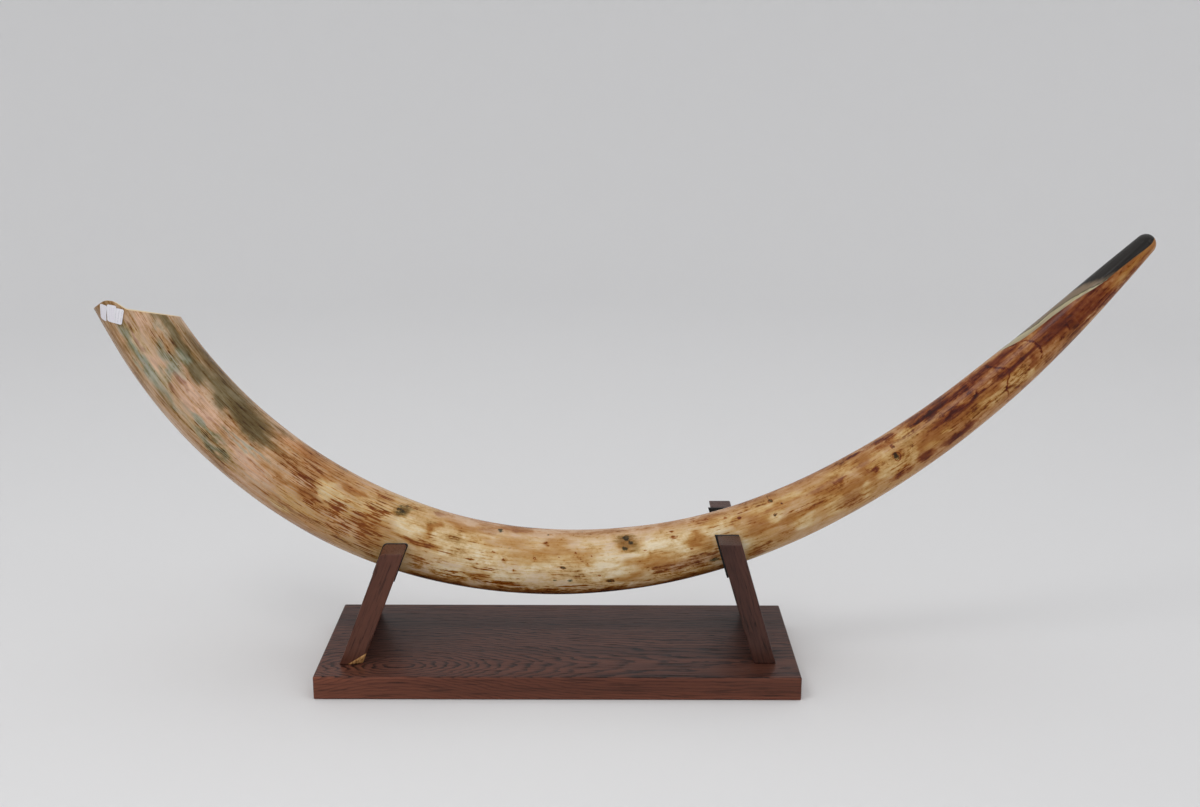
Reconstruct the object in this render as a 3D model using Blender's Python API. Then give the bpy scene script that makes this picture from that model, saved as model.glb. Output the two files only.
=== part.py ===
# A polished mammoth tusk that lies in the notches of two leaning boards on a wooden base plate.
#
# Metres, +Z up. The origin is the centre of the base plate's underside. +X runs along the plate
# towards the tusk's tip, and -Y is the side that the paper labels face.
import math

import bmesh
import bpy
import numpy as np
from mathutils import Vector

# ---------------------------------------------------------------- driving dimensions

CLEARANCE = 0.0003            # air left between two pieces that touch

BASE_LENGTH = 0.500
BASE_DEPTH = 0.200
BASE_THICKNESS = 0.025
BASE_EDGE_ROUND = 0.0015

BOARD_THICKNESS = 0.0225      # square to the board's two large faces
BOARD_EDGE_ROUND = 0.0012

# Each board stands on the plate and leans inwards. foot_x is the middle of its foot, lean is
# positive where its top leans to +X, and the walls of its notch are at front_wall and rear_wall.
# top_round is cut off each long corner of its two horns' tops, rounded.
SUPPORTS = {
    "left": {
        "foot_x": -0.2155, "lean_deg": 20.9,
        "front_face": -0.0710, "rear_face": 0.0740,
        "front_wall": -0.0378, "rear_wall": 0.0500,
        "front_top": 0.1465, "rear_top": 0.1480,
        "corner_radius": 0.013, "felt_shift": 0.0, "top_round": 0.0035,
    },
    "right": {
        "foot_x": 0.2157, "lean_deg": -16.5,
        "front_face": -0.0655, "rear_face": 0.0795,
        "front_wall": -0.0345, "rear_wall": 0.0550,
        "front_top": 0.1557, "rear_top": 0.1575,
        "corner_radius": 0.010, "felt_shift": -0.0014, "top_round": 0.0,
    },
}

FELT_THICKNESS = 0.0022
FELT_OVERHANG = 0.0010        # how far the felt stands out of each large face of its board
CORNER_STEPS = 5              # straight pieces in each rounded corner of a notch
EDGE_SEGMENTS = 2             # strips in each rounded edge of the wood
TOP_SEGMENTS = 6              # strips in each rounded corner of a horn's top

# The chip at the left board's foot: how far it runs in, up and back from the corner.
CHIP_ALONG, CHIP_UP, CHIP_BACK = 0.0135, 0.0120, 0.0045

# Middle line of the tusk and its radius there, from beyond the sawn root to the tip.
TUSK_STATIONS = (
    # x, y, z, radius
    (-0.4636, 0.0130, 0.4316, 0.0333),
    (-0.4051, 0.0100, 0.3269, 0.0371),
    (-0.3142, 0.0070, 0.2271, 0.0389),
    (-0.1980, 0.0048, 0.1544, 0.0388),
    (-0.0759, 0.0026, 0.1189, 0.0362),
    (0.0499, 0.0018, 0.1149, 0.0338),
    (0.1733, 0.0026, 0.1389, 0.0307),
    (0.2954, 0.0022, 0.1937, 0.0281),
    (0.4050, -0.0026, 0.2707, 0.0254),
    (0.4816, -0.0090, 0.3421, 0.0224),
    (0.5454, -0.0155, 0.4109, 0.0169),
    (0.5891, -0.0195, 0.4595, 0.0110),
)
TUSK_ROWS = 84                # rings from the root to the tip's round end
TUSK_SIDES = 40
TUSK_TIP_RINGS = 5
LINE_STEP = 1e-4              # share of the length over which the line's direction is taken
REST_SHARES = (0.15, 0.75)    # share of the length within which both notches lie
REST_ANGLES_DEG = (150.0, 210.0)

# The root is sawn off along a plane through CUT_POINT. Where the saw stopped short, on the front,
# a lip stands up between the two angles of LIP_RISE_DEG and sinks again over LIP_FALL_DEG. The
# outer corner past it is broken down a little. Angles run from the upper side towards the front.
CUT_POINT = (-0.432, 0.012, 0.3826)
CUT_SLOPE_X, CUT_SLOPE_Y = -0.142, -0.212
LIP_HEIGHT, CORNER_DROP = 0.0068, 0.0034
LIP_RISE_DEG, LIP_FALL_DEG = (79.0, 95.5), (100.0, 134.0)
DROP_START_DEG, DROP_END_DEG = (124.0, 152.0), (175.0, 220.0)
CUT_RINGS = (0.93, 0.72, 0.38)    # rings on the sawn face, as shares of the rim
CUT_BLEND = 0.12                  # share of the length over which the rings straighten up
CUT_SEARCH = 0.10                 # the whole rim lies within this share of the length
LIP_REACH = 0.45                  # the lip slopes down to the plane at this share of the rim

# The worn flat on the upper side of the tip: it opens from a point and takes off a little depth.
WEAR_START, WEAR_FULL = 0.835, 0.93
WEAR_ANGLE_DEG = -8.0
WEAR_WIDTH_DEG = 62.0
WEAR_DEPTH = 0.055                # share of the radius that is worn off

# Paper labels near the root: place along the tusk (share of its length), angle from the upper
# side towards the front, length, width and turn of the label, and its order in the stack.
LABEL_THICKNESS = 0.00025
LABEL_CORNER = 0.0016
LABEL_ROWS, LABEL_COLUMNS = 13, 8
LABELS = {
    "label_left": {"along": 0.0317, "angle_deg": 122.5, "length": 0.0176, "width": 0.0084,
                   "turn_deg": 42.0, "layer": 0},
    "label_middle": {"along": 0.0354, "angle_deg": 107.9, "length": 0.0182, "width": 0.0102,
                     "turn_deg": 36.0, "layer": 0},
    "label_right": {"along": 0.0398, "angle_deg": 98.0, "length": 0.0158, "width": 0.0090,
                    "turn_deg": 40.0, "layer": 1},
}

COLOURS = {
    # red, green, blue, roughness
    "tusk": (0.50, 0.32, 0.16, 0.30),
    "walnut": (0.075, 0.035, 0.025, 0.42),
    "felt": (0.010, 0.010, 0.011, 0.95),
    "paper": (0.78, 0.76, 0.78, 0.60),
}


# ---------------------------------------------------------------- shared tools

def clear_scene():
    for item in list(bpy.data.objects):
        bpy.data.objects.remove(item, do_unlink=True)


def make_material(name):
    red, green, blue, roughness = COLOURS[name]
    material = bpy.data.materials.new(name)
    material.use_nodes = True
    shader = material.node_tree.nodes["Principled BSDF"]
    shader.inputs["Base Color"].default_value = (red, green, blue, 1.0)
    shader.inputs["Roughness"].default_value = roughness
    shader.inputs["Metallic"].default_value = 0.0
    return material


def add_object(name, mesh, material, smooth_angle_deg=None):
    item = bpy.data.objects.new(name, mesh)
    bpy.context.scene.collection.objects.link(item)
    mesh.materials.append(material)
    if smooth_angle_deg is not None:
        mesh.shade_smooth()
        mesh.set_sharp_from_angle(angle=math.radians(smooth_angle_deg))
    return item


def round_edges(item, width):
    bevel = item.modifiers.new("edges", "BEVEL")
    bevel.width = width
    bevel.segments = EDGE_SEGMENTS
    bevel.limit_method = "ANGLE"
    bevel.angle_limit = math.radians(50.0)
    bevel.use_clamp_overlap = True


def natural_spline(knots, values, places):
    """Cubic spline through values at knots, with no bend at either end, read at places."""
    count = len(knots)
    gaps = np.diff(knots)
    system = np.eye(count)
    right = np.zeros((count, values.shape[1]))
    for i in range(1, count - 1):
        system[i, i - 1:i + 2] = (gaps[i - 1], 2.0 * (gaps[i - 1] + gaps[i]), gaps[i])
        right[i] = 6.0 * ((values[i + 1] - values[i]) / gaps[i] - (values[i] - values[i - 1]) / gaps[i - 1])
    bend = np.linalg.solve(system, right)
    i = np.clip(np.searchsorted(knots, places) - 1, 0, count - 2)
    gap = gaps[i][:, None]
    after = (places - knots[i])[:, None]
    before = (knots[i + 1] - places)[:, None]
    return (bend[i] * before ** 3 + bend[i + 1] * after ** 3) / (6.0 * gap) \
        + (values[i] / gap - bend[i] * gap / 6.0) * before \
        + (values[i + 1] / gap - bend[i + 1] * gap / 6.0) * after


def smooth_step(low, high, value):
    share = np.clip((value - low) / (high - low), 0.0, 1.0)
    return share * share * (3.0 - 2.0 * share)


# ---------------------------------------------------------------- the tusk's surface

def tusk_line(share):
    """Middle point, radius and the two square directions (up and back) at each share of the length."""
    stations = np.array(TUSK_STATIONS)
    chords = np.linalg.norm(np.diff(stations[:, :3], axis=0), axis=1)
    knots = np.concatenate(([0.0], np.cumsum(chords))) / chords.sum()
    here = natural_spline(knots, stations, share)
    ahead = natural_spline(knots, stations, share + LINE_STEP)
    behind = natural_spline(knots, stations, share - LINE_STEP)
    along = ahead[:, :3] - behind[:, :3]
    along /= np.linalg.norm(along, axis=1)[:, None]
    back = np.array((0.0, 1.0, 0.0)) - along * along[:, 1:2]
    back /= np.linalg.norm(back, axis=1)[:, None]
    up = np.cross(along, back)
    return here[:, :3], here[:, 3], along, up, back


def wear_factor(share, angle):
    """Radius factor of the worn flat: one outside it, a little less along its middle."""
    turn = np.angle(np.exp(1j * (angle - math.radians(WEAR_ANGLE_DEG))))
    half_width = math.radians(WEAR_WIDTH_DEG) * np.sqrt(smooth_step(WEAR_START, 1.0, share)) + 1e-6
    across = np.clip(1.0 - (turn / half_width) ** 2, 0.0, 1.0)
    return 1.0 - WEAR_DEPTH * across * smooth_step(WEAR_START, WEAR_FULL, share)


def tusk_skin(share, angle, lift=0.0):
    """Points of the skin: share runs root to tip, angle from the upper side towards the front."""
    share, angle = np.broadcast_arrays(share, angle)
    middle, radius, along, up, back = tusk_line(share.ravel())
    turn = angle.ravel()
    reach = (radius * wear_factor(share.ravel(), turn) + lift)[:, None]
    points = middle + reach * (np.cos(turn)[:, None] * up - np.sin(turn)[:, None] * back)
    return points.reshape(share.shape + (3,))


def cut_height(points):
    """Height above the sawn plane."""
    x, y, z = CUT_POINT
    plane = z + CUT_SLOPE_X * (points[..., 0] - x) + CUT_SLOPE_Y * (points[..., 1] - y)
    return points[..., 2] - plane


def lip_height(angle):
    """Height of the rim above the sawn plane at each angle, below it at the broken corner."""
    turn = np.degrees(angle) % 360.0
    lip = smooth_step(*LIP_RISE_DEG, turn) - smooth_step(*LIP_FALL_DEG, turn)
    drop = smooth_step(*DROP_START_DEG, turn) - smooth_step(*DROP_END_DEG, turn)
    return LIP_HEIGHT * lip - CORNER_DROP * drop


def root_rim(angle):
    """Share of the length at which the skin meets the sawn face, for each angle."""
    tries = np.linspace(0.0, CUT_SEARCH, 60)
    height = cut_height(tusk_skin(tries[:, None], angle[None, :])) - lip_height(angle)[None, :]
    return np.array([np.interp(0.0, -height[:, i], tries) for i in range(len(angle))])


def tusk_grid():
    """Closed grid of the tusk: sawn face, skin rows, round tip. The last axis is x, y, z."""
    angle = np.linspace(0.0, 2.0 * math.pi, TUSK_SIDES, endpoint=False)
    rim = root_rim(angle)
    rows = np.linspace(0.0, 1.0, TUSK_ROWS)[:, None]
    straighten = np.clip(1.0 - rows / CUT_BLEND, 0.0, 1.0) ** 2
    start = rim.mean()
    share = start + (1.0 - start) * rows + (rim[None, :] - start) * straighten
    skin = tusk_skin(share, angle[None, :])

    # the sawn face: rings drawn in from the rim towards its middle, laid on the plane and the lip
    centre = skin[0].mean(axis=0)
    face = []
    for ring in CUT_RINGS[::-1]:
        points = centre + (skin[0] - centre) * ring
        lip = lip_height(angle) * smooth_step(LIP_REACH, 1.0, ring)
        points[:, 2] += lip - cut_height(points)
        face.append(points)
    centre[2] -= cut_height(centre)

    # the tip: rings of a round cap on the last station
    middle, radius, along, up, back = tusk_line(np.array([1.0]))
    reach = np.linalg.norm(skin[-1] - middle, axis=1)[:, None]
    outward = (skin[-1] - middle) / reach
    cap = []
    for i in range(1, TUSK_TIP_RINGS + 1):
        tilt = 0.5 * math.pi * i / (TUSK_TIP_RINGS + 1)
        cap.append(middle + outward * reach * math.cos(tilt) + along * radius[0] * math.sin(tilt))
    point = (middle + along * radius[0])[0]
    return centre, np.concatenate((np.array(face), skin, np.array(cap))), point


def build_tusk(material):
    centre, rings, point = tusk_grid()
    mesh_data = bmesh.new()
    first = mesh_data.verts.new(centre)
    loops = [[mesh_data.verts.new(p) for p in ring] for ring in rings]
    last = mesh_data.verts.new(point)
    for lower, upper in zip(loops[:-1], loops[1:]):
        for i in range(TUSK_SIDES):
            j = (i + 1) % TUSK_SIDES
            mesh_data.faces.new((lower[i], lower[j], upper[j], upper[i]))
    for i in range(TUSK_SIDES):
        j = (i + 1) % TUSK_SIDES
        mesh_data.faces.new((first, loops[0][j], loops[0][i]))
        mesh_data.faces.new((last, loops[-1][i], loops[-1][j]))
    bmesh.ops.recalc_face_normals(mesh_data, faces=mesh_data.faces)
    mesh = bpy.data.meshes.new("tusk")
    mesh_data.to_mesh(mesh)
    mesh_data.free()
    return add_object("tusk", mesh, material, 40.0)


# ---------------------------------------------------------------- the stand

def build_base(material):
    mesh_data = bmesh.new()
    bmesh.ops.create_cube(mesh_data, size=1.0)
    bmesh.ops.scale(mesh_data, vec=(BASE_LENGTH, BASE_DEPTH, BASE_THICKNESS), verts=mesh_data.verts)
    bmesh.ops.translate(mesh_data, vec=(0.0, 0.0, BASE_THICKNESS / 2), verts=mesh_data.verts)
    mesh = bpy.data.meshes.new("base_plate")
    mesh_data.to_mesh(mesh)
    mesh_data.free()
    item = add_object("base_plate", mesh, material)
    round_edges(item, BASE_EDGE_ROUND)
    return item


def board_directions(support):
    """Point at the middle of the foot, direction up the board and direction square to its faces."""
    lean = math.radians(support["lean_deg"])
    foot = Vector((support["foot_x"], 0.0, BASE_THICKNESS + CLEARANCE))
    up = Vector((math.sin(lean), 0.0, math.cos(lean)))
    square = Vector((math.cos(lean), 0.0, -math.sin(lean)))
    return foot, up, square


def notch_floor(support):
    """Height, along the board, of the notch's wooden floor: the felt on it just clears the tusk."""
    foot, up, square = board_directions(support)
    share = np.linspace(*REST_SHARES, 900)[:, None]
    angle = np.radians(np.linspace(*REST_ANGLES_DEG, 41))[None, :]
    points = tusk_skin(share, angle) - np.array(foot)
    height = points @ np.array(up)
    offset = np.abs(points @ np.array(square))
    inside = offset < BOARD_THICKNESS / 2 + FELT_OVERHANG + abs(support["felt_shift"])
    return float(height[inside].min()) - FELT_THICKNESS - 2.0 * CLEARANCE


def notch_path(support, inset):
    """The notch's outline as (y, height along the board), from the rear wall to the front wall.

    inset draws the outline in from the wood towards the tusk.
    """
    floor = notch_floor(support) + inset
    front = support["front_wall"] + inset
    rear = support["rear_wall"] - inset
    radius = support["corner_radius"] - inset
    path = []
    for middle_y, start_deg in ((rear - radius, 0.0), (front + radius, -90.0)):
        for i in range(CORNER_STEPS + 1):
            turn = math.radians(start_deg - 90.0 * i / CORNER_STEPS)
            path.append((middle_y + radius * math.cos(turn), floor + radius + radius * math.sin(turn)))
    return path


def prism(name, support, outline, low, high):
    """Solid between two faces parallel to the board, low and high, measured square to it.

    An outline point (y, height, "along") sits at that height along the board; a point
    (y, height, "level") sits at that height above the ground on both faces, as at a level cut.
    """
    foot, up, square = board_directions(support)
    mesh_data = bmesh.new()
    sides = []
    for offset in (low, high):
        ring = []
        for y, height, kind in outline:
            if kind == "level":
                length = (height - foot.z - square.z * offset) / up.z
            else:
                length = height
            point = foot + up * length + square * offset + Vector((0.0, y, 0.0))
            ring.append(mesh_data.verts.new(point))
        sides.append(ring)
    mesh_data.faces.new(sides[0])
    mesh_data.faces.new(sides[1][::-1])
    count = len(outline)
    for i in range(count):
        j = (i + 1) % count
        mesh_data.faces.new((sides[0][i], sides[0][j], sides[1][j], sides[1][i]))
    bmesh.ops.recalc_face_normals(mesh_data, faces=mesh_data.faces)
    return mesh_data


def round_tops(mesh_data, support):
    """Rounds the corners where the tops of the horns meet the board's two large faces."""
    if not support["top_round"]:
        return
    lowest_top = min(support["front_top"], support["rear_top"]) - CLEARANCE
    corners = []
    for edge in mesh_data.edges:
        first, last = (corner.co for corner in edge.verts)
        runs_along_y = abs(first.x - last.x) < CLEARANCE and abs(first.y - last.y) > CLEARANCE
        if runs_along_y and min(first.z, last.z) > lowest_top:
            corners.append(edge)
    bmesh.ops.bevel(mesh_data, geom=corners, offset=support["top_round"], segments=TOP_SEGMENTS,
                    profile=0.5, affect="EDGES")


def chip_foot(mesh_data, support):
    """Breaks the front lower corner off the inner side of the board, along one slanting plane."""
    foot, up, square = board_directions(support)
    inner = BOARD_THICKNESS / 2
    corner = foot + square * inner + up * (-square.z * inner / up.z)
    corner.y = support["front_face"]
    on_foot = corner - Vector((CHIP_ALONG, 0.0, 0.0))
    on_edge = corner + up * CHIP_UP
    behind = corner + Vector((0.0, CHIP_BACK, 0.0))
    normal = (on_edge - on_foot).cross(behind - on_foot).normalized()
    if normal.dot(corner - on_foot) < 0.0:
        normal.negate()
    geometry = mesh_data.verts[:] + mesh_data.edges[:] + mesh_data.faces[:]
    cut = bmesh.ops.bisect_plane(mesh_data, geom=geometry, plane_co=on_foot, plane_no=normal,
                                 dist=1e-6, clear_outer=True)
    edges = [e for e in cut["geom_cut"] if isinstance(e, bmesh.types.BMEdge)]
    bmesh.ops.contextual_create(mesh_data, geom=edges)


def build_support(side, support, material):
    front_top = (support["front_top"], "level")
    rear_top = (support["rear_top"], "level")
    foot_height = (BASE_THICKNESS + CLEARANCE, "level")
    notch = [(y, height, "along") for y, height in notch_path(support, 0.0)]
    outline = [(support["front_face"], *foot_height), (support["rear_face"], *foot_height),
               (support["rear_face"], *rear_top), (support["rear_wall"], *rear_top)]
    outline += notch
    outline += [(support["front_wall"], *front_top), (support["front_face"], *front_top)]
    name = "support_" + side
    mesh_data = prism(name, support, outline, -BOARD_THICKNESS / 2, BOARD_THICKNESS / 2)
    round_tops(mesh_data, support)
    if side == "left":
        chip_foot(mesh_data, support)
    mesh = bpy.data.meshes.new(name)
    mesh_data.to_mesh(mesh)
    mesh_data.free()
    item = add_object(name, mesh, material)
    round_edges(item, BOARD_EDGE_ROUND)
    return item


def build_felt(side, support, material):
    outer = [(y, height, "along") for y, height in notch_path(support, CLEARANCE)]
    inner = [(y, height, "along") for y, height in notch_path(support, CLEARANCE + FELT_THICKNESS)]
    front = support["front_wall"] + CLEARANCE
    rear = support["rear_wall"] - CLEARANCE
    outline = [(rear, support["rear_top"], "level")] + outer + [(front, support["front_top"], "level")]
    outline += [(front + FELT_THICKNESS, support["front_top"], "level")] + inner[::-1]
    outline += [(rear - FELT_THICKNESS, support["rear_top"], "level")]
    half = BOARD_THICKNESS / 2 + FELT_OVERHANG
    name = "felt_" + side
    mesh_data = prism(name, support, outline, -half + support["felt_shift"], half + support["felt_shift"])
    round_tops(mesh_data, support)
    mesh = bpy.data.meshes.new(name)
    mesh_data.to_mesh(mesh)
    mesh_data.free()
    return add_object(name, mesh, material, 30.0)


# ---------------------------------------------------------------- labels

def label_sheet(label, lift):
    """Grid of points of a label lying on the tusk: a rectangle whose corners are rounded off."""
    line, radius = tusk_line(np.array([label["along"], label["along"] + LINE_STEP]))[:2]
    length_per_share = np.linalg.norm(line[1] - line[0]) / LINE_STEP
    lengthwise = np.linspace(-0.5, 0.5, LABEL_ROWS)[:, None] * label["length"]
    into_corner = np.clip(np.abs(lengthwise) - label["length"] / 2 + LABEL_CORNER, 0.0, LABEL_CORNER)
    half = label["width"] / 2 - LABEL_CORNER + np.sqrt(LABEL_CORNER ** 2 - into_corner ** 2)
    crosswise = np.linspace(-1.0, 1.0, LABEL_COLUMNS)[None, :] * half
    turn = math.radians(label["turn_deg"])
    along = lengthwise * math.cos(turn) - crosswise * math.sin(turn)
    around = lengthwise * math.sin(turn) + crosswise * math.cos(turn)
    share = label["along"] + along / length_per_share
    angle = math.radians(label["angle_deg"]) + around / radius[0]
    return tusk_skin(share, angle, lift)


def build_label(name, label, material):
    rows, columns = LABEL_ROWS, LABEL_COLUMNS
    lift = CLEARANCE + label["layer"] * (LABEL_THICKNESS + CLEARANCE)
    mesh_data = bmesh.new()
    sheets = []
    for height in (lift, lift + LABEL_THICKNESS):
        points = label_sheet(label, height)
        sheets.append([[mesh_data.verts.new(p) for p in row] for row in points])
    lower, upper = sheets
    for i in range(rows - 1):
        for j in range(columns - 1):
            for sheet in sheets:
                mesh_data.faces.new((sheet[i][j], sheet[i + 1][j], sheet[i + 1][j + 1], sheet[i][j + 1]))
    border = [(i, 0) for i in range(rows)] + [(rows - 1, j) for j in range(1, columns)]
    border += [(i, columns - 1) for i in range(rows - 2, -1, -1)]
    border += [(0, j) for j in range(columns - 2, 0, -1)]
    for (a, b), (c, d) in zip(border, border[1:] + border[:1]):
        mesh_data.faces.new((lower[a][b], lower[c][d], upper[c][d], upper[a][b]))
    bmesh.ops.recalc_face_normals(mesh_data, faces=mesh_data.faces)
    mesh = bpy.data.meshes.new(name)
    mesh_data.to_mesh(mesh)
    mesh_data.free()
    return add_object(name, mesh, material, 40.0)


def main():
    clear_scene()
    walnut = make_material("walnut")
    felt = make_material("felt")
    paper = make_material("paper")
    build_tusk(make_material("tusk"))
    build_base(walnut)
    for side, support in SUPPORTS.items():
        build_support(side, support, walnut)
        build_felt(side, support, felt)
    for name, label in LABELS.items():
        build_label(name, label, paper)


main()
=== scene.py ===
# A polished mammoth tusk in the felt-lined notches of two leaning boards on a dark wooden plate.
# Metres, +Z up. +X runs along the plate towards the tusk's tip, -Y is the side with the labels.
import math
import bpy
import numpy as np
from mathutils import Matrix


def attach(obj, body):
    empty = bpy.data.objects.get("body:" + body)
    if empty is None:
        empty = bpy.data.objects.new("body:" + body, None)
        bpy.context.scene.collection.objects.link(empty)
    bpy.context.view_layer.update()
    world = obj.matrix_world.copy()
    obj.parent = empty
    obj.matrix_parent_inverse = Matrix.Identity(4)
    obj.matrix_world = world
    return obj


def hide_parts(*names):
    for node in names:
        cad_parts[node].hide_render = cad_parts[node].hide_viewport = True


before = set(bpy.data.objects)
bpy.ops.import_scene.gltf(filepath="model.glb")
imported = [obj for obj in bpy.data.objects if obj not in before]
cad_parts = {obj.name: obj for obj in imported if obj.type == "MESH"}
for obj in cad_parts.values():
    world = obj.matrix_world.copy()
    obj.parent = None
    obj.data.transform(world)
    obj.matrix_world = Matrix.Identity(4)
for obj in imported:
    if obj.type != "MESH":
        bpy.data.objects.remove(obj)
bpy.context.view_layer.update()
print("frame loaded:", len(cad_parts), "nodes")


# small helpers for numbers, materials and meshes

def smoothStep(low, high, value):
    # the share of the way from low to high, eased: three times its square less twice its cube
    share = np.clip((value - low) / (high - low), 0.0, 1.0)
    return share * share * (3.0 - 2.0 * share)


def tint(red, green, blue):
    # a colour given as 0 to 255 on screen, turned into linear light
    screen = np.array((red, green, blue)) / 255.0
    light = np.where(screen <= 0.04045, screen / 12.92, ((screen + 0.055) / 1.055) ** 2.4)
    return (*light.tolist(), 1.0)


def newMaterial(name):
    material = bpy.data.materials.new(name)
    material.use_nodes = True
    return material, material.node_tree, material.node_tree.nodes["Principled BSDF"]


def feed(tree, node, sockets):
    # a value that is itself a socket becomes a link
    for key, value in sockets.items():
        if isinstance(value, bpy.types.NodeSocket):
            tree.links.new(value, node.inputs[key])
        else:
            node.inputs[key].default_value = value


def put(tree, kind, sockets, **settings):
    # adds a node with its settings and what feeds its sockets
    added = tree.nodes.new("ShaderNode" + kind)
    for key, value in settings.items():
        setattr(added, key, value)
    feed(tree, added, sockets)
    return added


def calc(tree, operation, first, second=0.0, third=0.0):
    # one sum on numbers or sockets
    return put(tree, "Math", {0: first, 1: second, 2: third}, operation=operation).outputs[0]


def scaled(tree, value, factor, offset):
    return calc(tree, "MULTIPLY_ADD", value, factor, offset)


def ease(tree, value, low, high, start=0.0, end=1.0):
    # smooth change from start to end while value goes from low to high
    ends = {"Value": value, "From Min": low, "From Max": high, "To Min": start, "To Max": end}
    return put(tree, "MapRange", ends, interpolation_type="SMOOTHSTEP").outputs["Result"]


def blend(tree, amount, first, second, way="MIX"):
    mixed = put(tree, "Mix", {0: amount, 6: first, 7: second}, data_type="RGBA", blend_type=way)
    return mixed.outputs[2]


def cloud(tree, place, stretch, detail, roughness=0.5, distortion=0.0, shift=(0.0, 0.0, 0.0)):
    # noise from 0 to 1 with its own stretch along each direction
    mapped = put(tree, "Mapping", {"Vector": place, "Scale": stretch, "Location": shift})
    noise = put(tree, "TexNoise", {"Vector": mapped.outputs[0], "Scale": 1.0, "Detail": detail,
                                   "Roughness": roughness, "Distortion": distortion})
    return noise.outputs["Fac"]


def ownPlace(tree):
    return put(tree, "TexCoord", {}).outputs["Object"]


def relief(tree, shader, height, distance, strength):
    bump = put(tree, "Bump", {"Height": height, "Distance": distance, "Strength": strength})
    feed(tree, shader, {"Normal": bump.outputs[0]})


def ringFaces(rows, sides):
    # four-sided faces that join each ring of vertices to the next
    row, side = np.meshgrid(np.arange(rows - 1), np.arange(sides), indexing="ij")
    beside = (side + 1) % sides
    return np.stack((row * sides + side, row * sides + beside,
                     (row + 1) * sides + beside, (row + 1) * sides + side), axis=-1).reshape(-1, 4)


def closedTube(name, first, rings, last):
    # rings of equal length joined up, with a fan of triangles to a point at each end
    rows, sides = rings.shape[:2]
    points = np.concatenate((first[None, :], rings.reshape(-1, 3), last[None, :]))
    quads = 1 + ringFaces(rows, sides)
    here = np.arange(sides)
    after = (here + 1) % sides
    ends = len(points) - 1
    fanIn = np.stack((np.zeros(sides, int), 1 + after, 1 + here), axis=-1)
    fanOut = np.stack((np.full(sides, ends), ends - sides + here, ends - sides + after), axis=-1)
    mesh = bpy.data.meshes.new(name)
    mesh.from_pydata(points.tolist(), [], quads.tolist() + fanIn.tolist() + fanOut.tolist())
    mesh.update()
    return mesh


def addObject(name, data):
    item = bpy.data.objects.new(name, data)
    bpy.context.scene.collection.objects.link(item)
    return item


def addPiece(name, mesh, material, slot, *nodes):
    # a finished piece with its material, taking the place of CAD nodes
    piece = addObject(name, mesh)
    mesh.materials.append(material)
    mesh.shade_smooth()
    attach(piece, "root")
    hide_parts(*nodes)


# the tusk's line and skin

tusk = {
    # middle line and radius from beyond the sawn root to the tip: x, y, z, radius
    "stations": ((-0.4636, 0.0130, 0.4316, 0.0333), (-0.4051, 0.0100, 0.3269, 0.0371),
                 (-0.3142, 0.0070, 0.2271, 0.0389), (-0.1980, 0.0048, 0.1544, 0.0388),
                 (-0.0759, 0.0026, 0.1189, 0.0362), (0.0499, 0.0018, 0.1149, 0.0338),
                 (0.1733, 0.0026, 0.1389, 0.0307), (0.2954, 0.0022, 0.1937, 0.0281),
                 (0.4050, -0.0026, 0.2707, 0.0254), (0.4816, -0.0090, 0.3421, 0.0224),
                 (0.5454, -0.0155, 0.4109, 0.0169), (0.5891, -0.0195, 0.4595, 0.0110)),
    "rows": 530, "sides": 168, "tipRings": 12,
    "sawPoint": (-0.432, 0.012, 0.3826), "sawSlope": (-0.142, -0.212),
    "sawWithin": 0.10,        # the whole sawn rim lies within this share of the length
    "straightenOver": 0.12,   # share of the length over which the slanting rings straighten up
    "sawnRings": (0.12, 0.3, 0.5, 0.68, 0.82, 0.92, 1.0), "lipReach": 0.45,   # shares of the sawn face
    "lip": 0.0068, "lipRise": (79.0, 95.5), "lipFall": (100.0, 134.0),
    "drop": 0.0034, "dropStart": (124.0, 152.0), "dropEnd": (175.0, 220.0),
    "rimRound": 0.0007,       # how far the sawn rim is rounded over
    "wearStart": 0.835, "wearFull": 0.93, "wearAngle": -8.0, "wearWidth": 62.0, "wearDepth": 0.055,
    "wornStep": 0.0003, "pitDepth": 0.001,
    "handWobble": 0.00025,    # unevenness left by polishing by hand
    "seam": 166.0, "hiddenSlide": 28.0,   # where the hidden side starts, and how far its pattern is slid
}


def spline(knots, values, places):
    # piecewise cubic whose second derivative is continuous and zero at both ends
    count = len(knots)
    gaps = np.diff(knots)
    system = np.eye(count)
    right = np.zeros((count, values.shape[1]))
    inner = np.arange(1, count - 1)
    system[inner, inner - 1] = gaps[:-1]
    system[inner, inner] = 2.0 * (gaps[:-1] + gaps[1:])
    system[inner, inner + 1] = gaps[1:]
    slopes = np.diff(values, axis=0) / gaps[:, None]
    right[inner] = 6.0 * np.diff(slopes, axis=0)
    bend = np.linalg.solve(system, right)
    i = np.clip(np.searchsorted(knots, places) - 1, 0, count - 2)
    gap = gaps[i][:, None]
    after = (places - knots[i])[:, None]
    before = gap - after
    return ((bend[i] * before ** 3 + bend[i + 1] * after ** 3) / (6.0 * gap)
            + (values[i] / gap - bend[i] * gap / 6.0) * before
            + (values[i + 1] / gap - bend[i + 1] * gap / 6.0) * after)


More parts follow.
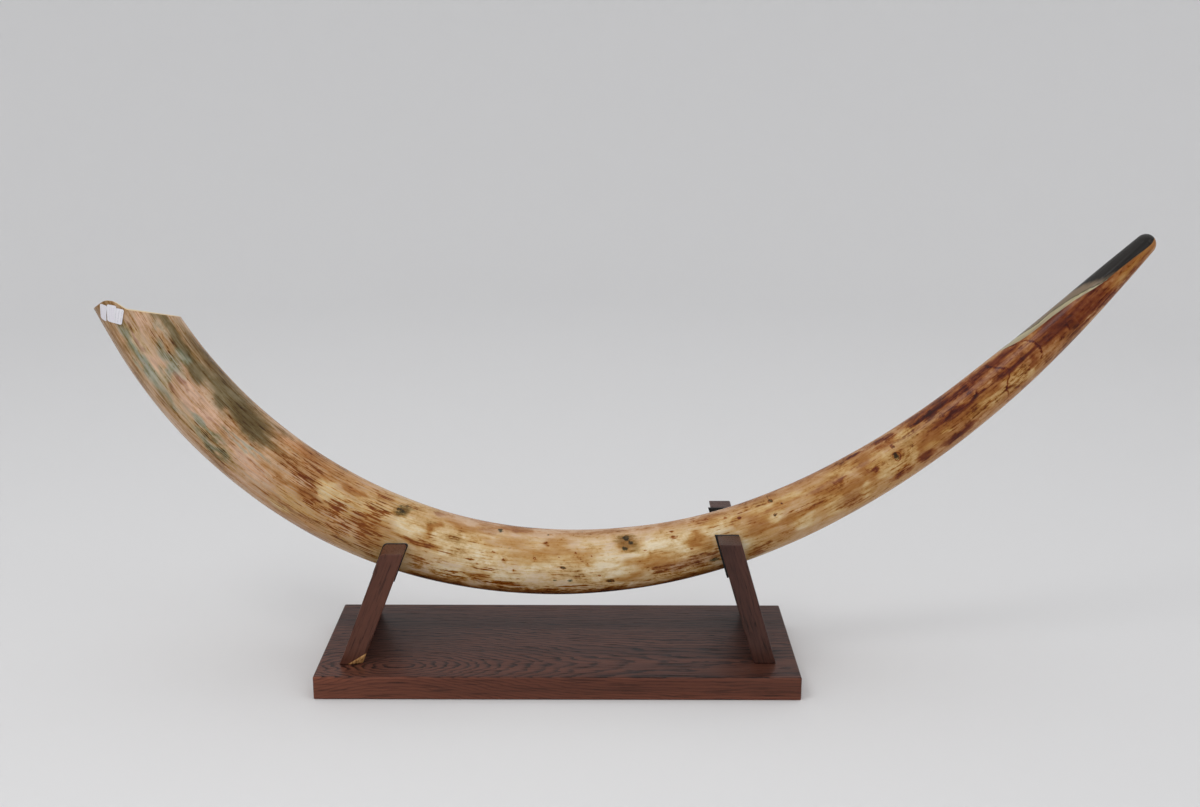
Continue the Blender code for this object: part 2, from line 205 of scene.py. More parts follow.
def tuskLine(share):
    # middle point, radius, direction along, and the up and back directions square to it
    stations = np.array(tusk["stations"])
    chords = np.linalg.norm(np.diff(stations[:, :3], axis=0), axis=1)
    knots = np.concatenate(([0.0], np.cumsum(chords))) / chords.sum()
    here = spline(knots, stations, share)
    near = 1e-4
    along = spline(knots, stations, share + near)[:, :3] - spline(knots, stations, share - near)[:, :3]
    along /= np.linalg.norm(along, axis=1)[:, None]
    back = np.array((0.0, 1.0, 0.0)) - along * along[:, 1:2]
    back /= np.linalg.norm(back, axis=1)[:, None]
    return here[:, :3], here[:, 3], along, np.cross(along, back), back


def tuskSkin(share, angle, lift=0.0):
    # a circle of the line's radius round each of its points; angle 0 is the upper side, 90 degrees the
    # front. The worn flat takes a little off the radius near the tip.
    share, angle = np.broadcast_arrays(share, angle)
    middle, radius, _, up, back = tuskLine(share.ravel())
    place, around = share.ravel(), angle.ravel()
    turn = np.angle(np.exp(1j * (around - math.radians(tusk["wearAngle"]))))
    halfWidth = math.radians(tusk["wearWidth"]) * np.sqrt(smoothStep(tusk["wearStart"], 1.0, place)) + 1e-6
    across = np.clip(1.0 - (turn / halfWidth) ** 2, 0.0, 1.0)
    wear = tusk["wearDepth"] * across * smoothStep(tusk["wearStart"], tusk["wearFull"], place)
    reach = (radius * (1.0 - wear) + np.ravel(lift))[:, None]
    points = middle + reach * (np.cos(around)[:, None] * up - np.sin(around)[:, None] * back)
    return points.reshape(share.shape + (3,))


def aboveSaw(points):
    # height above the slanting plane of the saw
    x, y, z = tusk["sawPoint"]
    slopeX, slopeY = tusk["sawSlope"]
    return points[..., 2] - z - slopeX * (points[..., 0] - x) - slopeY * (points[..., 1] - y)


def lipHeight(angle):
    # round the rim the lip rises and sinks by a smooth step each, and past it the corner drops likewise
    turn = np.degrees(angle) % 360.0
    lip = smoothStep(*tusk["lipRise"], turn) - smoothStep(*tusk["lipFall"], turn)
    drop = smoothStep(*tusk["dropStart"], turn) - smoothStep(*tusk["dropEnd"], turn)
    return tusk["lip"] * lip - tusk["drop"] * drop


# where the tusk's stains and marks lie. Each mark: place in thousandths of the length, angle in degrees
# from the upper side towards the front, half length in thousandths, half width in degrees, strength
marks = {
    "ivory": (
        (256, 56, 12, 13, .9), (232, 120, 10, 6, .8), (240, 98, 22, 12, .4), (292, 58, 20, 18, .35),
        (331, 55, 8, 12, .8), (392, 74, 12, 12, .9), (360, 72, 8, 8, .5), (150, 106, 40, 14, .3),
        (75, 100, 30, 22, .35), (750, 88, 14, 12, .5), (862, 104, 10, 10, .5), (845, 96, 6, 10, .5),
        (631, 36, 10, 14, .5), (656, 41, 12, 10, .6), (614, 98, 7, 14, .8), (658, 100, 9, 13, .6),
        (978, 102, 24, 14, .7), (622, 8, 22, 10, .4), (378, 66, 24, 15, .9), (372, 112, 10, 10, .8),
        (412, 100, 14, 8, .6), (437, 82, 10, 7, .5), (505, 124, 12, 6, .15), (545, 62, 24, 15, .9),
        (593, 40, 11, 13, .9), (640, 61, 7, 9, .9), (688, 94, 7, 18, 1.), (703, 40, 11, 14, .9),
        (738, 66, 7, 24, 1.), (716, 100, 3, 18, .5), (765, 42, 8, 14, .9), (760, 85, 5, 14, .8),
        (794, 86, 3.5, 7, .9), (832, 86, 3, 11, .7), (865, 82, 2, 12, .7), (868, 106, 16, 16, .8),
        (838, 100, 8, 14, .8), (815, 98, 5, 9, .7), (780, 92, 5, 8, .6), (856, 84, 5, 8, .6),
        (448, 70, 24, 8, .5), (495, 86, 16, 20, .5), (822, 96, 8, 10, .4)),
    "gold": (
        (75, 14, 55, 22, .1), (225, 20, 30, 16, .3), (212, 48, 16, 13, .5), (240, 44, 12, 12, .4),
        (240, 76, 14, 6, .6), (215, 76, 12, 5, .4), (62, 122, 22, 9, .2), (300, 72, 16, 16, .6),
        (308, 98, 12, 10, .4), (250, 98, 26, 10, .12), (276, 35, 12, 4, .8), (350, 47, 4, 15, .8),
        (343, 74, 12, 6, .7), (420, 8, 16, 10, .4), (331, 72, 10, 3, .8), (300, 18, 8, 10, .3),
        (378, 26, 16, 8, .5), (430, 66, 22, 12, .45), (420, 40, 14, 12, .5), (456, 36, 12, 10, .5),
        (456, 56, 20, 10, .5), (395, 48, 12, 8, .4), (392, 107, 12, 7, .6), (530, 78, 20, 8, .6),
        (512, 108, 12, 8, .6), (574, 62, 7, 18, .8), (585, 24, 10, 12, .45), (624, 60, 10, 18, .9),
        (608, 40, 8, 10, .5), (655, 79, 24, 6, 1.), (650, 46, 16, 8, .6), (690, 54, 13, 12, .95),
        (704, 78, 12, 8, .9), (514, 44, 10, 14, .5), (480, 66, 12, 10, .4), (540, 92, 14, 8, .6),
        (812, 72, 16, 10, 1.), (780, 80, 10, 16, .8), (845, 74, 14, 8, .8), (725, 66, 4.5, 22, 1.),
        (700, 106, 14, 12, .3), (612, 120, 8, 10, .5), (640, 108, 10, 10, .3), (727, 40, 16, 22, .4),
        (745, 108, 8, 10, .3), (816, 92, 12, 10, .5), (868, 68, 18, 8, .6), (985, 100, 22, 28, .6)),
    "brown": (
        (700, 60, 10, 8, .7), (668, 78, 14, 5, .6), (234, 47, 15, 15, 1.), (212, 48, 8, 9, .7),
        (238, 75, 14, 4, .6), (272, 66, 5, 12, .5), (299, 74, 12, 18, .5), (264, 86, 18, 6, .35),
        (297, 20, 5, 9, .25), (296, 100, 18, 5, .5), (306, 115, 12, 6, .4), (343, 74, 6, 5, .9),
        (350, 106, 11, 14, .9), (364, 120, 22, 7, .8), (388, 111, 12, 4, .5), (406, 120, 22, 8, .95),
        (455, 130, 26, 8, .8), (580, 22, 5, 9, .7), (573, 5, 5, 8, .5), (582, 88, 5, 8, 1.),
        (560, 104, 22, 14, .6), (545, 108, 5, 5, .8), (535, 104, 5, 5, .8), (622, 118, 10, 10, .4),
        (643, 107, 8, 12, .6), (612, 130, 9, 10, .8), (701, 112, 14, 10, .6), (727, 71, 3, 12, .6),
        (746, 110, 9, 12, .7), (738, 8, 16, 14, .8), (757, 21, 6, 8, .8), (945, 122, 30, 8, .7),
        (500, 132, 40, 6, .5), (508, 112, 12, 8, .35), (962, 130, 24, 12, .9), (812, 70, 14, 8, .55),
        (826, 30, 28, 10, .5), (795, 34, 12, 8, .4)),
    "bars": (
        (299, 66, 15, 26, .8), (298, 47, 13, 5, .5), (299, 84, 15, 5, .5), (271, 70, 9, 18, .75),
        (252, 78, 16, 12, .5), (284, 78, 8, 14, .5), (240, 62, 10, 10, .4), (262, 100, 30, 14, .3),
        (292, 96, 22, 12, .5), (270, 36, 12, 4, .6), (300, 110, 14, 8, .4), (330, 72.5, 11, 3, .9),
        (347, 66, 8, 4, .7), (344, 75, 9, 4, .7), (349, 58, 3, 6, .5), (364.5, 77.5, 6, 1.6, .8),
        (386, 80.5, 5, 2, .8), (402, 93, 9, 3, .8), (364, 95, 9, 3, .7), (389, 106, 12, 4, .8),
        (368, 112, 20, 7, .75), (408, 117, 24, 6, .8), (466, 119, 16, 4, .9), (440, 126, 24, 6, .7),
        (510, 122, 24, 8, .45), (552, 28, 3.5, 3, .8), (553.5, 45, 3, 3.5, .9), (553, 36, 1, 8, .7),
        (613, 27, 2, 5, .7), (611.5, 39, 2.8, 3.4, 1.), (222, 34, 26, 4, .6), (236, 56, 12, 14, .55),
        (205, 60, 40, 3, .4), (225, 88, 24, 6, .3), (185, 82, 34, 3, .3), (80, 60.5, 36, 2, .7),
        (120, 36, 60, 3, .35), (170, 50, 40, 3, .4), (100, 20, 60, 10, .35), (655, 68, 22, 3, .5),
        (600, 55, 30, 24, .3), (560, 104, 22, 12, .5), (846, 67, 26, 4, .5), (830, 100, 50, 20, .35),
        (795, 60, 60, 26, .2), (690, 96, 40, 20, .15), (445.5, 36, 1.3, 3, 1.), (447, 40, 1.3, 3.4, 1.),
        (411.5, 73, 1.2, 4, 1.), (413.5, 77, 1.6, 1.6, 1.), (445, 45, 60, 30, .18), (440, 95, 50, 16, .22),
        (690, 60, 50, 30, .25)),
    "olive": (
        (234, 47, 14, 12, .35), (212, 48, 10, 10, .3), (100, 12, 30, 12, .5), (48, 36, 22, 10, .55),
        (140, 36, 50, 10, .3), (150, 24, 34, 16, .9), (76, 37, 22, 8, 1.), (107, 47, 10, 9, 1.),
        (160, 44, 38, 9, .9), (182, 50, 16, 7, .6), (122, 34, 26, 5, .4), (132, 2, 40, 7, .35),
        (514, 38, 8, 20, .55), (319, 34, 6, 11, .65), (165, 110, 18, 4, .35), (108, 112, 10, 7, .35),
        (195, 10, 10, 6, .4)),
    "celadon": (
        (88, 69, 20, 8, .8), (96, 80, 5, 14, .8), (76, 105, 34, 10, 1.), (91, 47, 8, 12, .9),
        (146, 93, 22, 4, .9), (182, 70, 24, 2.6, .9), (176, 77, 20, 2, .8), (160, 108, 22, 7, .7),
        (62, 51, 14, 5, .7), (118, 108, 14, 6, .5), (160, 55, 10, 5, .4)),
    "rose": (
        (112, 60, 16, 8, .5), (54, 74, 12, 13, .8), (84, 84, 7.5, 7.5, 1.), (132, 70, 26, 8, .9),
        (131, 84, 22, 6, .9), (60, 116, 10, 6, .6), (206, 18, 18, 13, .7), (190, 92, 30, 12, .6),
        (260, 100, 46, 14, .25), (290, 10, 30, 14, .5), (185, 125, 30, 8, .4)),
    "plum": (
        (106, 73, 8, 4, .9), (108, 91, 9, 5, .9), (59, 90, 17, 2.4, .9), (150, 78, 20, 2.2, .6),
        (190, 86, 26, 2.2, .6), (242, 110, 24, 3, .6), (353, 10, 6, 10, .7), (398, 26, 10, 7, .5),
        (421, 13, 13, 3, .8), (560, 100, 26, 12, .7), (700, 100, 16, 16, .5), (738, 10, 22, 16, .6),
        (801, 116, 20, 10, .6), (770, 108, 6, 16, .5), (900, 118, 22, 12, .3)),
    "mahogany": (
        (744, 34, 14, 8, .4), (822, 30, 28, 9, .75), (797, 64, 12, 6, .6), (788, 28, 15, 6, .8),
        (856, 28, 20, 9, .9), (840, 48, 40, 12, .4), (782, 10, 14, 12, .45), (820, 8, 30, 10, .35),
        (960, 62, 12, 8, .5), (820, 66, 16, 3, .6), (872, 69, 22, 5, .9), (802, 116, 15, 8, .8),
        (770, 110, 8, 11, .8), (936, 96, 22, 14, .55), (946, 110, 20, 12, .4), (904, 76, 14, 14, .7),
        (914, 45, 20, 12, .75), (929, 70, 20, 14, .6), (850, 18, 24, 8, .5), (738, 12, 18, 8, .5),
        (727, 71, 3.5, 12, .45), (880, 96, 5, 16, .5), (745, 112, 10, 10, .5)),
    "spots": (
        (318, 36, 5, 6, .62), (316.5, 27, 2.4, 9, .6), (322, 17, 2, 10, .45), (406, 18, 2.4, 5, 1.),
        (416, 51.5, 1.3, 3, .9), (460, 81.3, 2.3, 2.4, 1.), (466, 105, 2.6, 2.6, .9),
        (453.5, 104, 2.4, 1.6, .6), (514, 31, 2.6, 6, .9), (517, 42, 2, 4, .9), (511.5, 52, 2.2, 4, 1.),
        (641.4, 26, 1.7, 4.5, 1.), (639.5, 10, .9, 12, .6), (640.5, 61, 1.2, 3.2, 1.),
        (649, 43, 1.3, 2.8, .7), (581, 108, 4, 4, .8), (749.6, 71, 1.5, 9.5, 1.), (751, 48, 1.4, 6, .6),
        (498, 112, 3.2, 4, .9), (476, 6, 1.6, 6, .6), (447.5, 17, 1.6, 4, .6), (410, 92, 1, 1.4, .6)),
    "ochre": (
        (446, 38, 2.6, 6, .8), (412.5, 74, 2.6, 5.5, .8), (420.5, 89, 2.2, 3, .9), (498, 112, 4.2, 6, .9),
        (480, 75, 2, 3, .9), (474, 65, 1.5, 3, .7), (319, 34, 9, 15, .6), (514, 40, 8, 22, .7),
        (449, 16, 3, 4, .6), (712, 98, 2, 10, .5), (752, 71, 3, 12, .8)),
    "pits": (
        (420, 89, 1.4, 2.4, .5), (498, 112, 2.6, 3.4, .8), (460, 81.5, 2, 2.6, .8), (480, 74, 1.5, 2.4, .5),
        (474, 66, 1.5, 2.2, .4), (641, 26, 1.8, 5, 1.), (640.5, 61, 1.5, 3, 1.), (649, 43, 1.5, 3, .6),
        (750, 72, 2.4, 9, 1.), (751, 47, 2, 6, .6), (554, 44, 3, 3, .4), (611, 39, 2, 3, .5),
        (403, 62, 1, 1.6, .7), (437, 66, 1.3, 1.8, .6), (457, 62, 1, 2, .6), (471, 55, 1, 1.6, .7),
        (476, 70, 1.4, 1.8, .6), (484, 62, .9, 1.5, .7), (391, 86, 1, 1.2, .5), (425, 104, 1.3, 1.4, .6),
        (489, 98, 1.5, 1.6, .6), (505, 108, 1.3, 1.5, .6), (528, 60, 1.2, 1.8, .5), (538, 96, 1.1, 1.6, .6),
        (566, 74, 1.2, 1.8, .5), (600, 28, 1.3, 2.4, .6)),
}
smallMarks = ("bars", "spots", "ochre", "pits")   # kept closer to their places than the wide stains

# how strong each stain is on the whole at a few places along the tusk, in thousandths of the length
levels = {
    "ivory": ((0, 190, 240, 270, 310, 420, 600, 680, 750, 800, 860),
              (.1, .1, .2, .35, .55, .62, .6, .5, .42, .12, .08)),
    "gold": ((0, 190, 230, 260, 320, 400, 500, 560, 600, 640, 750, 790, 850, 1000),
             (.2, .24, .42, .45, .4, .24, .27, .3, .38, .55, .5, .6, .52, .6)),
    "brown": ((0, 180, 215, 300, 318, 550, 750, 800, 900, 1000),
              (.05, .1, .25, .25, .04, .1, .16, .3, .3, .2)),
    "olive": ((0, 60, 170, 230), (.2, .22, .14, .0)),
    "rose": ((0, 150, 210, 300, 330, 1000), (.2, .3, .2, .3, .1, .05)),
    "mahogany": ((0, 700, 760, 800, 850, 950, 975, 1000), (.0, .0, .02, .04, .06, .2, .05, .0)),
    "fibre": ((0, 310, 330, 700, 800, 1000), (1., 1., .35, .2, .2, .35)),
}

# lower edge of the worn flat at the tip: place in thousandths against angle in degrees
wornEdge = ((858, 870, 876, 883, 893, 904, 915, 925, 934, 944, 951, 960, 968, 977, 989, 1000, 1030),
            (-20, 6, 16, 24, 29, 32, 34, 39, 44, 52, 59, 66, 69, 74, 82, 94, 112))
creamWidth = ((858, 885, 900, 915, 925, 934, 944, 951, 958), (60, 30, 17, 20, 18, 15, 10, 5, 0))

# dark cracks that run round the tusk near its tip: the angles and the places that each one passes
cracks = (((9, 30, 54, 70, 90, 125), (849, 852, 858, 861, 853, 846)),
          ((8, 34, 57, 77, 104), (870, 885, 890, 890, 885)),
          ((74, 88, 104), (917, 916, 914)), ((52, 60, 68), (831, 830, 828)))


def waver(first, second, size, seed):
    # smooth random field from -1 to 1: random numbers on a square lattice, eased from one to the next
    side = 256
    lattice = np.random.default_rng(seed).uniform(-1.0, 1.0, (side, side))
    across, along = np.asarray(first) / size, np.asarray(second) / size
    i, j = np.floor(across).astype(int), np.floor(along).astype(int)
    u, v = smoothStep(0.0, 1.0, across - i), smoothStep(0.0, 1.0, along - j)
    low = lattice[i % side, j % side] * (1.0 - u) + lattice[(i + 1) % side, j % side] * u
    high = lattice[i % side, (j + 1) % side] * (1.0 - u) + lattice[(i + 1) % side, (j + 1) % side] * u
    return low * (1.0 - v) + high * v


def gather(kind, place, angle):
    # soft union of all marks of a kind: each one is a bell over its own ellipse
    clear = np.ones_like(place)
    for middle, turn, length, width, strength in marks.get(kind, ()):
        away = ((place - middle) / length) ** 2 + ((angle - turn) / width) ** 2
        clear *= 1.0 - strength * np.exp(-0.7 * away ** 1.5)
    return 1.0 - clear


def nearestCrack(place, angle):
    # signed distance along the tusk to the nearest crack, in thousandths, and how open it is there
    offset = np.full_like(place, 30.0)
    opening = np.zeros_like(place)
    for turns, places in cracks:
        here = place - np.interp(angle, turns, places)
        nearer = np.abs(here) < np.abs(offset)
        offset = np.where(nearer, here, offset)
        within = smoothStep(turns[0] - 3.0, turns[0] + 6.0, angle)
        within = within * (1.0 - smoothStep(turns[-1] - 6.0, turns[-1] + 3.0, angle))
        opening = np.where(nearer, within, opening)
    return offset, opening


def tuskMarks(share, angle):
    # every stain at every vertex. Angles past the seam, the hidden side, take the pattern of the
    # seen side mirrored and slid along, so that it joins on at the top and the bottom. The wide stains
    # are pushed about by smooth random fields, so that none keeps an even outline.
    place = share * 1000.0
    turn = np.degrees(angle) % 360.0
    seam = tusk["seam"]
    hidden = (turn > seam) & (turn < seam + 180.0)
    slide = tusk["hiddenSlide"] * np.sin(np.clip((turn - seam) / 180.0, 0.0, 1.0) * math.pi)
    seenPlace = np.where(hidden, place + slide, place)
    seenTurn = np.where(hidden, 2.0 * seam - turn, np.where(turn >= seam + 180.0, turn - 360.0, turn))

    def pushed(size, seed):
        wide, fine = waver(seenPlace, seenTurn, size, seed), waver(seenPlace, seenTurn, 4.5, seed + 1)
        return 5.0 * wide + 2.5 * fine

    pushedAlong, pushedRound = pushed(11.0, 1), pushed(10.0, 3)
    found = {}
    for kind in sorted(set(marks) | set(levels)):
        nudge = 0.12 if kind in smallMarks else 1.0
        level = np.interp(seenPlace + pushedAlong, *levels.get(kind, ((0, 1), (0, 0))))
        found[kind] = gather(kind, seenPlace + nudge * pushedAlong, seenTurn + nudge * pushedRound)
        found[kind] = np.clip(found[kind] + level, 0.0, 1.0)

    # the low side between the notches is darker, partly a warm brown stain and partly painted shade, and the
    # upper side past the first notch is duller
    found["dark"] = smoothStep(106.0, 148.0, seenTurn + pushedRound) * smoothStep(325.0, 350.0, place)
    found["dark"] *= 1.0 - smoothStep(585.0, 620.0, place)
    above = smoothStep(38.0, 4.0, seenTurn) * smoothStep(330.0, 370.0, place)
    found["ivory"] *= 1.0 - 0.75 * above
    found["plum"] = np.maximum(found["plum"], 0.32 * above * (1.0 - smoothStep(680.0, 760.0, place)))
    found["crackOffset"], found["crackOpening"] = nearestCrack(seenPlace, seenTurn)

    # how far inside the worn flat, in degrees, and how dark it is towards its middle and the tip
    fromTop = np.abs((turn - tusk["wearAngle"] + 180.0) % 360.0 - 180.0)
    inside = np.interp(place, *wornEdge) - tusk["wearAngle"] - fromTop
    found["worn"] = np.where(place < 850.0, -30.0, inside)
    found["cream"] = np.interp(place, *creamWidth) - inside
    towardsMiddle = 0.9 * np.clip(inside / 55.0, 0.0, 1.0)
    found["charcoal"] = smoothStep(-0.3, 1.0, (place - 936.0) / 34.0 + towardsMiddle - 0.6)
    return found


# what the material reads at each vertex: three numbers to a mesh attribute
attributes = {
    "straightened": ("alongTusk", "upFromMiddle", "frontFromMiddle"),
    "warmStains": ("ivory", "gold", "brown"), "coolStains": ("olive", "celadon", "rose"),
    "barMarks": ("bars", "pits", "plum"), "lateStains": ("mahogany", "spots", "ochre"),
    # the last number of crackPlaces marks the darker low side: partly stain, partly painted shade
    "crackPlaces": ("crackOffset", "crackOpening", "dark"), "tipMarks": ("worn", "cream", "charcoal"),
    "surfaceKind": ("fibre", "sawn", "pits"),   # the third number only fills the group
}


def buildTusk(material):
    # rings of the skin from the slanting sawn rim to the tip, closed by the sawn face and a round cap
    angle = np.linspace(0.0, 2.0 * math.pi, tusk["sides"], endpoint=False)
    tries = np.linspace(0.0, tusk["sawWithin"], 400)
    height = aboveSaw(tuskSkin(tries[:, None], angle[None, :])) - lipHeight(angle)[None, :]
    sawShare = np.array([np.interp(0.0, -height[:, i], tries) for i in range(len(angle))])
    length = np.linalg.norm(np.diff(tuskLine(np.linspace(0.0, 1.0, 400))[0], axis=0), axis=1).sum()
    rounding = tusk["rimRound"]

    rows = np.linspace(0.0, 1.0, tusk["rows"])[:, None]
    start = sawShare.mean()
    rim = sawShare + rounding / length
    straighten = np.clip(1.0 - rows / tusk["straightenOver"], 0.0, 1.0) ** 2
    share = start + (1.0 - start) * rows + (rim[None, :] - start) * straighten
    turn = np.broadcast_to(angle[None, :], share.shape)
    found = tuskMarks(share, turn)
    wobble = (np.sin(share * 61.0 + 1.3 * np.cos(turn)) + np.sin(share * 97.0 - 2.0 * np.sin(turn) + 1.0)
              + np.sin(3.0 * turn + share * 23.0) - 3.0) / 6.0
    wobble *= tusk["handWobble"] * smoothStep(0.0, 0.02, share - sawShare)
    sunk = tusk["pitDepth"] * found["pits"] + tusk["wornStep"] * smoothStep(0.0, 4.0, found["worn"])
    skin = tuskSkin(share, turn, wobble - sunk)

    # the sawn face: rings from the rim in to its middle, laid on the plane and the lip
    edge = tuskSkin(sawShare, angle)
    centre = edge.mean(axis=0)
    centre[2] -= aboveSaw(centre)
    inward = (centre - edge) / np.linalg.norm(centre - edge, axis=1)[:, None]
    rings = []
    for part in tusk["sawnRings"]:
        points = centre + (edge + inward * rounding - centre) * part
        points[:, 2] += lipHeight(angle) * smoothStep(tusk["lipReach"], 1.0, part) - aboveSaw(points)
        rings.append(points)
    rings.append(0.2 * (rings[-1] + skin[0]) + 0.6 * edge)   # the rounded rim

    # the tip: rings of a round cap on the last station
    middle, radius, along = tuskLine(np.array([1.0]))[:3]
    outward = skin[-1] - middle
    tilts = 0.5 * math.pi * np.arange(1, tusk["tipRings"] + 1) / (tusk["tipRings"] + 1)
    cap = [middle + outward * math.cos(t) + along * radius[0] * math.sin(t) for t in tilts]
    point = (middle + along * radius[0])[0]
    mesh = closedTube("tusk_surface", centre, np.concatenate((np.array(rings), skin, np.array(cap))), point)

    # share and angle of every vertex in the mesh's own order, for the stains
    sawnCount = 1 + len(rings) * len(angle)
    capShare = np.repeat(1.0 + tilts * radius[0] / length, len(angle))
    share = np.concatenate((np.full(sawnCount, start), share.ravel(), capShare, capShare[-1:]))
    turn = np.concatenate(([0.0], np.tile(angle, len(rings) + len(skin) + len(tilts)), [0.0]))
    found = tuskMarks(share, turn)
    found["sawn"] = np.zeros_like(share)
    found["sawn"][:sawnCount] = 1.0
    found["sawn"][sawnCount - len(angle):sawnCount] = 0.5
    radius = tuskLine(np.clip(share, 0.0, 1.0))[1]
    found["alongTusk"] = share * length
    found["upFromMiddle"], found["frontFromMiddle"] = radius * np.cos(turn), radius * np.sin(turn)
    for name, kinds in attributes.items():
        columns = np.stack([found[kind] for kind in kinds], axis=-1).astype(np.float32)
        mesh.attributes.new(name, "FLOAT_VECTOR", "POINT").data.foreach_set("vector", columns.ravel())
    print("tusk:", len(mesh.vertices), "vertices, length", round(float(length), 3))
    addPiece("tusk_surface", mesh, material, "tusk", "tusk")


tuskFinish = {
    # grounds: the colours of the bare ivory
    "tan": tint(203, 172, 143), "ivory": tint(226, 210, 180), "rose": tint(212, 174, 148),
    "celadon": tint(154, 160, 146),
    # stains: what one full depth of each lets through
    "tea": (0.70, 0.51, 0.33), "amber": (0.62, 0.40, 0.18), "plum": (0.50, 0.36, 0.38),
    "olive": (0.34, 0.39, 0.31), "russet": (0.52, 0.28, 0.14), "spot": (0.10, 0.13, 0.11),
    # the last of these darkens the low side between the notches: partly dirt, partly painted shade
    "grimeAndShade": (0.18, 0.16, 0.15),
    # the worn flat, the stripe along its edge and the sawn face
    "charcoal": tint(35, 32, 30), "stripe": tint(180, 170, 136), "hornTan": tint(124, 107, 88),
    "sawn": tint(226, 206, 164),
    "roughness": 0.26, "specular": 0.2,
}


def tuskMaterial():
    # stains soaked one after another into a pale ground, each where its amount at the vertex plus the
    # unevenness of the grain is high enough; then the small marks, the worn flat and the sawn face
    finish = tuskFinish
    material, tree, shader = newMaterial("polishedTusk")

    def read(name):
        source = put(tree, "Attribute", {}, attribute_name=name).outputs["Vector"]
        return source, put(tree, "SeparateXYZ", {0: source}).outputs

    place = read("straightened")[0]
    ivory, gold, brown = read("warmStains")[1]
    bars, pits, plum = read("barMarks")[1]
    olive, celadon, rose = read("coolStains")[1]
    mahogany, spots, ochre = read("lateStains")[1]
    crackOffset, crackOpening, dark = read("crackPlaces")[1]
    worn, cream, charcoal = read("tipMarks")[1]
    fibre, sawn = read("surfaceKind")[1][:2]

    # noises stretched along the grain, and rounder ones
    veils = cloud(tree, place, (17.0, 26.0, 26.0), 3.0, 0.55, 0.5, (3.0, 1.0, 2.0))
    bands = cloud(tree, place, (10.0, 110.0, 110.0), 3.0, 0.6, 0.3)
    streaks = cloud(tree, place, (22.0, 330.0, 330.0), 4.0, 0.62, 0.4)
    threads = cloud(tree, place, (45.0, 800.0, 800.0), 3.0, 0.6)
    dashes = cloud(tree, place, (75.0, 520.0, 520.0), 2.0, 0.6, 0.2, (5.0, 2.0, 7.0))
    mottles = cloud(tree, place, (38.0, 60.0, 60.0), 7.0, 0.64, 0.7)
    flecks = cloud(tree, place, (120.0, 190.0, 190.0), 5.0, 0.7, 0.5)
    specks = cloud(tree, place, (260.0, 380.0, 380.0), 2.0, 0.6)

    def mixed(*parts):
        # weighted sum of noises, each taken about its middle
        total = None
        for noise, weight in parts:
            share = scaled(tree, noise, weight, -0.5 * weight)
            total = share if total is None else calc(tree, "ADD", total, share)
        return total

    fibrous = mixed((bands, 1.0), (streaks, 1.9), (threads, 2.0), (specks, 0.5))
    blotchy = mixed((mottles, 2.5), (streaks, 0.7), (flecks, 1.1), (specks, 0.6))
    dashed = mixed((streaks, 1.5), (dashes, 3.6), (threads, 2.2), (flecks, 0.6))
    ragged = put(tree, "Mix", {0: fibre, 2: blotchy, 3: fibrous}, data_type="FLOAT").outputs[0]
    drift = mixed((veils, 2.4))

    def times(first, second):
        return calc(tree, "MULTIPLY", first, second)

    def plus(first, second):
        return calc(tree, "ADD", first, second)

    def stained(ground, deep, stain):
        # light left after a stain of some depth: each channel is its own share to the power of the depth
        left = [calc(tree, "POWER", channel, deep) for channel in finish[stain]]
        through = put(tree, "CombineXYZ", {0: left[0], 1: left[1], 2: left[2]}).outputs[0]
        return blend(tree, 1.0, ground, through, "MULTIPLY")

    def shaken(stain, raggedness, drifting):
        drifted = scaled(tree, drift, drifting, stain)
        return scaled(tree, ragged, raggedness, drifted)

    def where(stain, low, high, raggedness=1.0, drifting=0.5):
        # a stain shows where its amount plus the grain's unevenness is high enough
        return ease(tree, shaken(stain, raggedness, drifting), low, high)

    def depth(stain, gain, raggedness, drifting, start=0.0):
        # a stain that keeps getting deeper with its amount and with the grain's unevenness
        amount = scaled(tree, stain, gain, -start)
        return calc(tree, "MAXIMUM", shaken(amount, raggedness, drifting), 0.0)

    # the bare ground
    colour = blend(tree, where(rose, 0.2, 0.9, 0.3), finish["tan"], finish["rose"])
    colour = blend(tree, where(ivory, 0.1, 0.8, 0.6), colour, finish["ivory"])
    pale = times(where(celadon, 0.15, 1.0, 0.3), 0.9)
    colour = blend(tree, pale, colour, finish["celadon"])

    # amber soaks in: a thin veil everywhere but on the clean patches, then golden and brown patches
    cleaner = scaled(tree, rose, -0.4, times(pale, -0.3))
    cleaner = scaled(tree, ivory, -0.4, cleaner)
    colour = stained(colour, depth(cleaner, 1.0, 0.5, 0.4, -0.45), "tea")
    golden = depth(gold, 1.6, 0.8, 0.6, 0.22)
    browned = times(ease(tree, plus(shaken(brown, 1.0, 0.5), times(dashed, 0.35)), 0.45, 1.25), 1.8)
    barred = ease(tree, scaled(tree, bars, 1.15, dashed), 0.72, 1.3)
    barred = times(barred, ease(tree, bars, 0.02, 0.5, 0.2, 1.0))
    barred = times(barred, ease(tree, threads, 0.35, 0.65, 1.3, 2.6))
    amber = plus(golden, plus(browned, barred))
    # the low side between the notches deepens the amber: partly a brown stain, partly painted shade
    amber = plus(depth(dark, 1.1, 0.7, 0.2, 0.2), amber)
    amber = calc(tree, "SMOOTH_MIN", amber, 2.5, 0.8)
    amber = times(amber, ease(tree, dashed, -0.9, 0.9, 0.85, 1.15))   # grain inside the stains
    colour = stained(colour, amber, "amber")
    colour = stained(colour, depth(mahogany, 2.3, 1.0, 0.6, 0.35), "russet")
    colour = stained(colour, depth(plum, 1.0, 0.3, 0.3, 0.22), "plum")
    colour = stained(colour, depth(olive, 1.3, 0.5, 0.5, 0.1), "olive")
    # the low side between the notches darkened again in russet and grey-brown: partly stain and dirt, partly
    # painted shade
    colour = stained(colour, depth(dark, 0.8, 0.4, 0.2, 0.3), "russet")
    colour = stained(colour, depth(dark, 0.7, 0.35, 0.2, 0.35), "grimeAndShade")

